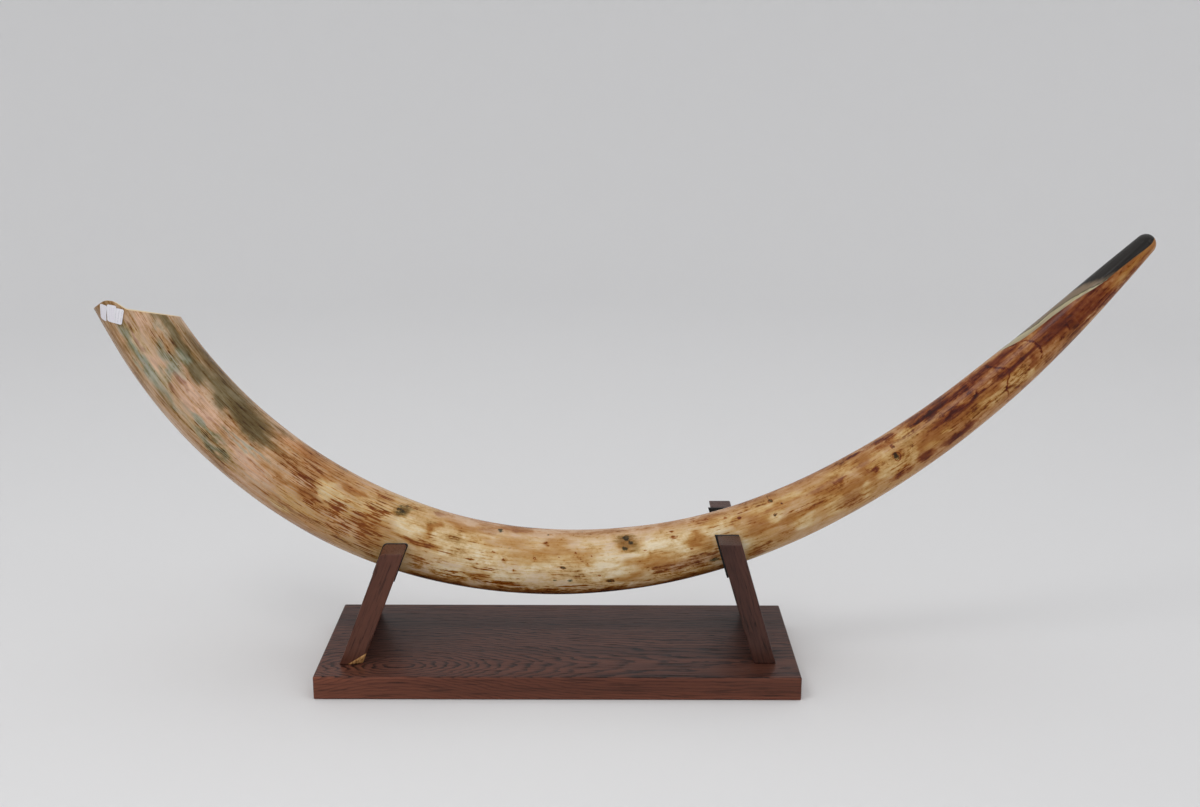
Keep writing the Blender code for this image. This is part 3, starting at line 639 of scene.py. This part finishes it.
    # small things: ochre hollows, rims of the pits, dark spots, freckles and cracks
    colour = stained(colour, times(where(ochre, 0.2, 0.9, 0.5, 0.0), 0.8), "amber")
    dented = plus(pits, mixed((flecks, 1.5), (mottles, 1.2)))
    rimmed = times(ease(tree, dented, 0.2, 0.4), ease(tree, dented, 0.42, 0.7, 1.0, 0.0))
    rimmed = times(rimmed, ease(tree, pits, 0.05, 0.35, 0.0, 1.3))
    colour = stained(colour, rimmed, "russet")
    spotted = ease(tree, plus(spots, mixed((flecks, 1.6), (specks, 1.4), (mottles, 0.6))), 0.3, 0.85)
    spotted = times(times(spotted, 0.85), ease(tree, spots, 0.1, 0.6))
    colour = stained(colour, spotted, "spot")
    freckle = times(ease(tree, specks, 0.62, 0.74), ease(tree, mottles, 0.46, 0.62))
    colour = stained(colour, times(freckle, 0.8), "amber")
    bent = calc(tree, "ABSOLUTE", plus(crackOffset, mixed((mottles, 9.0), (flecks, 6.0))))
    crack = times(ease(tree, bent, 0.2, 1.6, 1.0, 0.0), crackOpening)
    colour = stained(colour, times(crack, ease(tree, flecks, 0.38, 0.6, 0.5, 2.4)), "russet")

    # light and dark threads where the surface is fibrous
    shade = ease(tree, threads, 0.25, 0.75, 0.74, 1.18)
    shade = put(tree, "Mix", {0: fibre, 2: 1.0, 3: shade}, data_type="FLOAT").outputs[0]
    shades = put(tree, "CombineXYZ", {0: shade, 1: shade, 2: shade}).outputs[0]
    colour = blend(tree, 1.0, colour, shades, "MULTIPLY")

    # the worn flat at the tip: a cream stripe along its edge, then horn colour, then charcoal
    edge = scaled(tree, ragged, 2.5, worn)
    flat = blend(tree, where(charcoal, 0.2, 0.85, 0.35), finish["hornTan"], finish["charcoal"])
    stripeEdge = scaled(tree, ragged, 6.0, cream)
    rimLine = times(ease(tree, stripeEdge, -5.0, 0.0), ease(tree, stripeEdge, 0.0, 3.0, 1.0, 0.0))
    striped = blend(tree, ease(tree, streaks, 0.35, 0.7, 0.0, 0.6), finish["stripe"], finish["hornTan"])
    flat = blend(tree, ease(tree, stripeEdge, -2.0, 3.0), flat, striped)
    flat = stained(flat, times(rimLine, 0.9), "olive")
    wornHere = ease(tree, edge, -1.5, 1.5)
    colour = blend(tree, wornHere, colour, flat)

    # the sawn face
    rings = cloud(tree, ownPlace(tree), (90.0, 90.0, 90.0), 4.0, 0.6)
    face = blend(tree, ease(tree, rings, 0.4, 0.7, 0.0, 0.5), finish["sawn"], finish["tan"])
    colour = blend(tree, ease(tree, sawn, 0.3, 0.7), colour, face)

    # the polish: higher on the worn flat, lower on the dark spots and the sawn face
    rough = scaled(tree, drift, 0.05, finish["roughness"])
    rough = scaled(tree, wornHere, -0.10, rough)
    rough = scaled(tree, spots, 0.25, rough)
    rough = scaled(tree, sawn, 0.25, rough)
    feed(tree, shader, {"Base Color": colour, "Roughness": rough, "Specular IOR Level": finish["specular"]})
    relief(tree, shader, scaled(tree, specks, 0.3, threads), 0.0002, 0.35)
    return material


buildTusk(tuskMaterial())

# the stand's wood
wood = {
    "plate": {"light": tint(106, 64, 50), "edge": tint(132, 76, 56), "edgeTop": 0.0246,
              "dark": tint(28, 17, 16), "pore": tint(18, 12, 11), "roughness": 0.40, "lateWood": 1.0},
    "leftBoard": {"light": tint(97, 59, 46), "dark": tint(74, 44, 35), "pore": tint(52, 31, 24),
                  "roughness": 0.34, "lateWood": 0.22},
    "rightBoard": {"light": tint(82, 51, 42), "dark": tint(50, 31, 27), "pore": tint(36, 23, 20),
                   "roughness": 0.34, "lateWood": 0.5},
    "rawWood": tint(206, 160, 106), "rawWoodDark": tint(150, 104, 60),
    "figure": (-0.166, -0.070, 0.160, 0.050),   # middle of the oval figure on the plate, and its half sizes
    "chipMiddle": (-0.2065, -0.0695, 0.0290),   # the break at the left board's foot
    "chipNormal": (0.2825, -0.848, -0.4484), "chipReach": 0.0125,
    "specular": 0.16, "coat": 0.08, "coatRoughness": 0.2,
}


def finishWood(tree, shader, finish, place, late, poreStretch):
    # light wood, darkened by slow clouds and by the late part of each growth ring, with open pores
    tone = cloud(tree, place, tuple(0.03 * s for s in poreStretch), 4.0, 0.6)
    broken = cloud(tree, place, tuple(0.2 * s for s in poreStretch), 3.0, 0.6)
    pores = cloud(tree, place, poreStretch, 3.0, 0.65)
    colour = blend(tree, ease(tree, tone, 0.35, 0.68, 0.0, 0.6), finish["light"], finish["dark"])
    lateWood = ease(tree, broken, 0.3, 0.62, 0.45 * finish["lateWood"], finish["lateWood"])
    colour = blend(tree, calc(tree, "MULTIPLY", late, lateWood), colour, finish["dark"])
    poreHere = calc(tree, "MULTIPLY", ease(tree, pores, 0.50, 0.66), ease(tree, late, 0.0, 1.0, 0.5, 0.95))
    colour = blend(tree, poreHere, colour, finish["pore"])
    rough = scaled(tree, poreHere, 0.25, finish["roughness"])
    feed(tree, shader, {"Base Color": colour, "Roughness": rough, "Specular IOR Level": wood["specular"],
                        "Coat Weight": wood["coat"], "Coat Roughness": wood["coatRoughness"]})
    relief(tree, shader, calc(tree, "MULTIPLY", poreHere, -1.0), 0.0003, 0.6)
    return colour


def plateMaterial():
    # growth rings follow the level lines of a low hill: each darkens slowly and ends at once. The edge
    # faces are redder.
    finish = wood["plate"]
    material, tree, shader = newMaterial("stainedPlate")
    place = ownPlace(tree)
    x, y, z = put(tree, "SeparateXYZ", {0: place}).outputs
    middleX, middleY, halfX, halfY = wood["figure"]
    wander = calc(tree, "SUBTRACT", cloud(tree, place, (8.0, 30.0, 30.0), 4.0, 0.6), 0.5)
    jag = calc(tree, "SUBTRACT", cloud(tree, place, (26.0, 130.0, 130.0), 3.0, 0.6), 0.5)
    # the hill's level lines are ovals round the figure's middle that run on along the grain
    alongFigure = calc(tree, "TANH", calc(tree, "DIVIDE", calc(tree, "SUBTRACT", x, middleX), halfX))
    acrossFigure = calc(tree, "DIVIDE", calc(tree, "SUBTRACT", y, middleY), halfY)
    lengthPart = calc(tree, "MULTIPLY", alongFigure, calc(tree, "MULTIPLY", alongFigure, 2.2))
    widthPart = scaled(tree, acrossFigure, acrossFigure, 0.02)
    hill = calc(tree, "SQRT", calc(tree, "ADD", lengthPart, widthPart))
    rings = scaled(tree, hill, 12.0, calc(tree, "MULTIPLY", z, 300.0))
    rings = scaled(tree, wander, 3.5, scaled(tree, jag, 1.6, rings))
    saw = calc(tree, "FRACT", rings)
    late = calc(tree, "MULTIPLY", ease(tree, saw, 0.4, 0.88), ease(tree, saw, 0.94, 1.0, 1.0, 0.0))
    top = ease(tree, z, finish["edgeTop"] - 0.0004, finish["edgeTop"])
    late = calc(tree, "MULTIPLY", late, scaled(tree, top, 0.6, 0.4))
    colour = finishWood(tree, shader, finish, place, late, (20.0, 560.0, 560.0))
    reddening = tuple(edge / light for edge, light in zip(finish["edge"], finish["light"]))
    redder = blend(tree, 1.0, colour, reddening, "MULTIPLY")
    feed(tree, shader, {"Base Color": blend(tree, top, redder, colour)})
    return material


def boardMaterial(name, finish, leanDegrees, chipped=False):
    # grain runs up the leaning board, so the place is turned to lie along it first
    material, tree, shader = newMaterial(name)
    place = ownPlace(tree)
    lean = (0.0, -math.radians(leanDegrees), 0.0)
    turned = put(tree, "Mapping", {"Vector": place, "Rotation": lean}).outputs[0]
    x, y = put(tree, "SeparateXYZ", {0: turned}).outputs[:2]
    wander = calc(tree, "SUBTRACT", cloud(tree, turned, (34.0, 34.0, 8.0), 4.0, 0.6), 0.5)
    rings = scaled(tree, x, 150.0, calc(tree, "MULTIPLY", wander, 8.0))
    rings = scaled(tree, y, 110.0, rings)
    saw = calc(tree, "FRACT", rings)
    late = calc(tree, "MULTIPLY", ease(tree, saw, 0.2, 0.9), ease(tree, saw, 0.92, 1.0, 1.0, 0.0))
    colour = finishWood(tree, shader, finish, turned, late, (640.0, 640.0, 34.0))
    if chipped:
        # raw wood shows where the corner of the foot is broken off
        away = put(tree, "VectorMath", {0: place, 1: wood["chipMiddle"]}, operation="SUBTRACT").outputs[0]
        facing = put(tree, "VectorMath", {0: away, 1: wood["chipNormal"]}, operation="DOT_PRODUCT")
        deep = facing.outputs["Value"]
        spread = put(tree, "VectorMath", {0: away}, operation="LENGTH").outputs["Value"]
        splinters = cloud(tree, turned, (500.0, 500.0, 90.0), 4.0, 0.65)
        near = scaled(tree, splinters, -0.004, spread)
        onPlane = ease(tree, calc(tree, "ABSOLUTE", deep), 0.0006, 0.0010, 1.0, 0.0)
        within = ease(tree, near, wood["chipReach"] - 0.003, wood["chipReach"], 1.0, 0.0)
        onBreak = calc(tree, "MULTIPLY", onPlane, within)
        raw = blend(tree, ease(tree, splinters, 0.4, 0.65), wood["rawWood"], wood["rawWoodDark"])
        feed(tree, shader, {"Base Color": blend(tree, onBreak, colour, raw)})
    return material


feltFinish = {"dark": tint(16, 16, 17), "light": tint(38, 38, 40), "roughness": 0.95, "sheen": 0.15}


def feltMaterial():
    # fine even noise between two near blacks, raised a little
    material, tree, shader = newMaterial("blackFelt")
    fuzz = cloud(tree, ownPlace(tree), (900.0, 900.0, 900.0), 3.0, 0.7)
    colour = blend(tree, ease(tree, fuzz, 0.35, 0.7), feltFinish["dark"], feltFinish["light"])
    feed(tree, shader, {"Base Color": colour, "Roughness": feltFinish["roughness"],
                        "Sheen Weight": feltFinish["sheen"]})
    relief(tree, shader, fuzz, 0.0004, 0.7)
    return material


def dress(node, material):
    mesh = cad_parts[node].data
    mesh.materials.clear()
    mesh.materials.append(material)


dress("base_plate", plateMaterial())
dress("support_left", boardMaterial("stainedBoardLeft", wood["leftBoard"], 20.9, chipped=True))
dress("support_right", boardMaterial("stainedBoardRight", wood["rightBoard"], -16.5))
felt = feltMaterial()
dress("felt_left", felt)
dress("felt_right", felt)
print("stand finished")

# the paper labels
labels = {
    # share of the tusk's length, angle round it, length, width, turn, layer in the stack
    "label_left": (0.0317, 122.5, 0.0176, 0.0084, 42.0, 0),
    "label_middle": (0.0354, 107.9, 0.0182, 0.0102, 36.0, 0),
    "label_right": (0.0398, 98.0, 0.0158, 0.0090, 40.0, 1),
    "corner": 0.0016, "thickness": 0.00025, "air": 0.0003, "rows": 25, "columns": 13,
    "paper": tint(232, 230, 236), "faint": tint(196, 170, 206), "dull": tint(150, 152, 160),
}


def buildLabel(name, material):
    # a rectangle with rounded corners laid on the tusk's skin, and its copy carried outwards by the
    # thickness, joined round their edges into one closed sheet
    along, around, length, width, turned, layer = labels[name]
    rows, columns = labels["rows"], labels["columns"]
    corner = labels["corner"]
    near = 1e-3
    line, radius = tuskLine(np.array([along, along + near]))[:2]
    metresPerShare = np.linalg.norm(line[1] - line[0]) / near
    lengthwise = np.linspace(-0.5, 0.5, rows)[:, None] * length
    intoCorner = np.clip(np.abs(lengthwise) - length / 2 + corner, 0.0, corner)
    half = width / 2 - corner + np.sqrt(corner ** 2 - intoCorner ** 2)
    crosswise = np.linspace(-1.0, 1.0, columns)[None, :] * half
    cosine, sine = math.cos(math.radians(turned)), math.sin(math.radians(turned))
    share = along + (lengthwise * cosine - crosswise * sine) / metresPerShare
    angle = math.radians(around) + (lengthwise * sine + crosswise * cosine) / radius[0]
    low = labels["air"] + layer * (labels["thickness"] + labels["air"])
    sheets = [tuskSkin(share, angle, low + extra) for extra in (labels["thickness"], 0.0)]
    count = rows * columns
    row, column = np.meshgrid(np.arange(rows - 1), np.arange(columns - 1), indexing="ij")
    first = (row * columns + column).ravel()
    top = np.stack((first, first + columns, first + columns + 1, first + 1), axis=-1)
    firstSide, lastSide = np.arange(rows) * columns, np.arange(rows - 2, -1, -1) * columns + columns - 1
    firstEnd, lastEnd = np.arange(columns - 2, 0, -1), (rows - 1) * columns + np.arange(1, columns)
    edge = np.concatenate((firstSide, lastEnd, lastSide, firstEnd))
    following = np.roll(edge, -1)
    sides = np.stack((edge, edge + count, following + count, following), axis=-1)
    faces = np.concatenate((top[:, ::-1], top + count, sides[:, ::-1]))
    mesh = bpy.data.meshes.new(name + "_paper")
    mesh.from_pydata(np.concatenate([s.reshape(-1, 3) for s in sheets]).tolist(), [], faces.tolist())
    mesh.update()
    flat = np.stack((np.broadcast_to(lengthwise, share.shape), crosswise, np.zeros_like(share)), axis=-1)
    onPaper = mesh.attributes.new("onPaper", "FLOAT_VECTOR", "POINT")
    onPaper.data.foreach_set("vector", np.concatenate((flat, flat)).astype(np.float32).ravel())
    addPiece(name + "_paper", mesh, material, "label_white" if layer else "label_printed", name)
    mesh.set_sharp_from_angle(angle=math.radians(40.0))


def paperMaterial(name, lines, colour):
    # faint ruled lines across the paper, broken up by noise
    material, tree, shader = newMaterial(name)
    place = put(tree, "Attribute", {}, attribute_name="onPaper").outputs["Vector"]
    x, y = put(tree, "SeparateXYZ", {0: place}).outputs[:2]
    wave = calc(tree, "ABSOLUTE", calc(tree, "SINE", calc(tree, "MULTIPLY", y, math.pi * lines)))
    line = ease(tree, wave, 0.0, 0.45, 1.0, 0.0)
    inside = calc(tree, "MULTIPLY", ease(tree, calc(tree, "ABSOLUTE", x), 0.0062, 0.0070, 1.0, 0.0),
                  ease(tree, calc(tree, "ABSOLUTE", y), 0.0030, 0.0036, 1.0, 0.0))
    broken = ease(tree, cloud(tree, place, (700.0, 900.0, 1.0), 2.0, 0.6), 0.35, 0.6)
    amount = calc(tree, "MULTIPLY", calc(tree, "MULTIPLY", line, inside), calc(tree, "MULTIPLY", broken, 0.7))
    feed(tree, shader, {"Base Color": blend(tree, amount, labels["paper"], colour), "Roughness": 0.55})
    return material


printed = paperMaterial("printedPaper", 480.0, labels["faint"])
plain = paperMaterial("plainPaper", 330.0, labels["dull"])
buildLabel("label_left", printed)
buildLabel("label_middle", printed)
buildLabel("label_right", plain)
print("labels laid on")

# floor, light and camera
studio = {
    "floorRadius": 2.3, "sweepRadius": 1.6, "wallHeight": 1.6, "floorRings": 8, "floorSides": 96,
    "floorColour": tint(226, 226, 227),
    "worldColour": (1.0, 1.0, 1.0, 1.0), "worldStrength": 0.85,
    # place, aimed at, width, height, watts
    "lights": {
        "softboxLeft": ((-0.81, -0.92, 1.80), (0.0, 0.0, 0.2), 0.7, 0.5, 6.0),
        "softboxRight": ((1.6, -1.3, 1.6), (0.0, 0.0, 0.2), 1.1, 0.8, 3.0),
        "softboxTop": ((0.0, 0.3, 2.3), (0.0, 0.0, 0.0), 2.2, 1.4, 2.5),
        "frontFill": ((0.0, -2.0, 0.9), (0.0, 0.0, 0.25), 2.4, 1.0, 4.0),
    },
    "cameraPlace": (0.03976, -1.49450, 0.65838),
    "pitch": 13.902, "yaw": 0.119, "roll": 0.187, "lens": 44.25,
}


def buildFloor():
    # a flat disc whose rim bends up a quarter circle into a wall: profile turned about the Z axis
    bend = np.linspace(0.0, 0.5 * math.pi, 24)
    inner, sweep = studio["floorRadius"], studio["sweepRadius"]
    flat, sides = np.linspace(0.2, inner, studio["floorRings"]), studio["floorSides"]
    wallTop = sweep + studio["wallHeight"]
    radius = np.concatenate((flat, inner + sweep * np.sin(bend[1:]), [inner + sweep]))[:, None]
    height = np.concatenate((0.0 * flat, sweep * (1.0 - np.cos(bend[1:])), [wallTop]))[:, None]
    turn = np.linspace(0.0, 2.0 * math.pi, sides, endpoint=False)
    points = np.stack((radius * np.cos(turn), radius * np.sin(turn), height + 0.0 * turn), axis=-1)
    quads = ringFaces(len(radius), sides)[:, ::-1]
    mesh = bpy.data.meshes.new("studio_floor")
    mesh.from_pydata(points.reshape(-1, 3).tolist(), [], quads.tolist() + [list(range(sides))])
    mesh.shade_smooth()
    floor = addObject("studio_floor", mesh)
    material, tree, shader = newMaterial("paleFloor")
    feed(tree, shader, {"Base Color": studio["floorColour"], "Roughness": 0.8})
    mesh.materials.append(material)


def aim(place, target):
    # matrix at place whose -Z looks at target and whose X stays level
    away = np.array(place) - np.array(target)
    away /= np.linalg.norm(away)
    right = np.cross((0.0, 0.0, 1.0), away)
    right /= np.linalg.norm(right)
    matrix = np.eye(4)
    matrix[:3, 0], matrix[:3, 1], matrix[:3, 2], matrix[:3, 3] = right, np.cross(away, right), away, place
    return Matrix(matrix.tolist())


def addLights():
    # area lamps as listed, and an even pale light from all round
    for name, (place, target, width, height, watts) in studio["lights"].items():
        lamp = bpy.data.lights.new(name, "AREA")
        lamp.shape = "RECTANGLE"
        lamp.size, lamp.size_y, lamp.energy = width, height, watts
        addObject(name, lamp).matrix_world = aim(place, target)
    world = bpy.data.worlds.new("studioAir")
    world.use_nodes = True
    sky = {"Color": studio["worldColour"], "Strength": studio["worldStrength"]}
    feed(world.node_tree, world.node_tree.nodes["Background"], sky)
    bpy.context.scene.world = world


def addCamera():
    # forward from pitch and yaw, then right and up turned about it by the roll
    pitch, yaw, roll = (math.radians(studio[k]) for k in ("pitch", "yaw", "roll"))
    forward = np.array((math.sin(yaw) * math.cos(pitch), math.cos(yaw) * math.cos(pitch), -math.sin(pitch)))
    right = np.array((math.cos(yaw), -math.sin(yaw), 0.0))
    up = np.cross(right, forward)
    matrix = np.eye(4)
    matrix[:3, 0] = right * math.cos(roll) + up * math.sin(roll)
    matrix[:3, 1] = up * math.cos(roll) - right * math.sin(roll)
    matrix[:3, 2] = -forward
    matrix[:3, 3] = studio["cameraPlace"]
    camera = bpy.data.cameras.new("camera")
    camera.lens = studio["lens"]
    camera.sensor_width = 36.0
    item = addObject("camera", camera)
    item.matrix_world = Matrix(matrix.tolist())
    bpy.context.scene.camera = item


buildFloor()
addLights()
addCamera()
bpy.context.scene.view_settings.view_transform = "Standard"
print("studio ready")
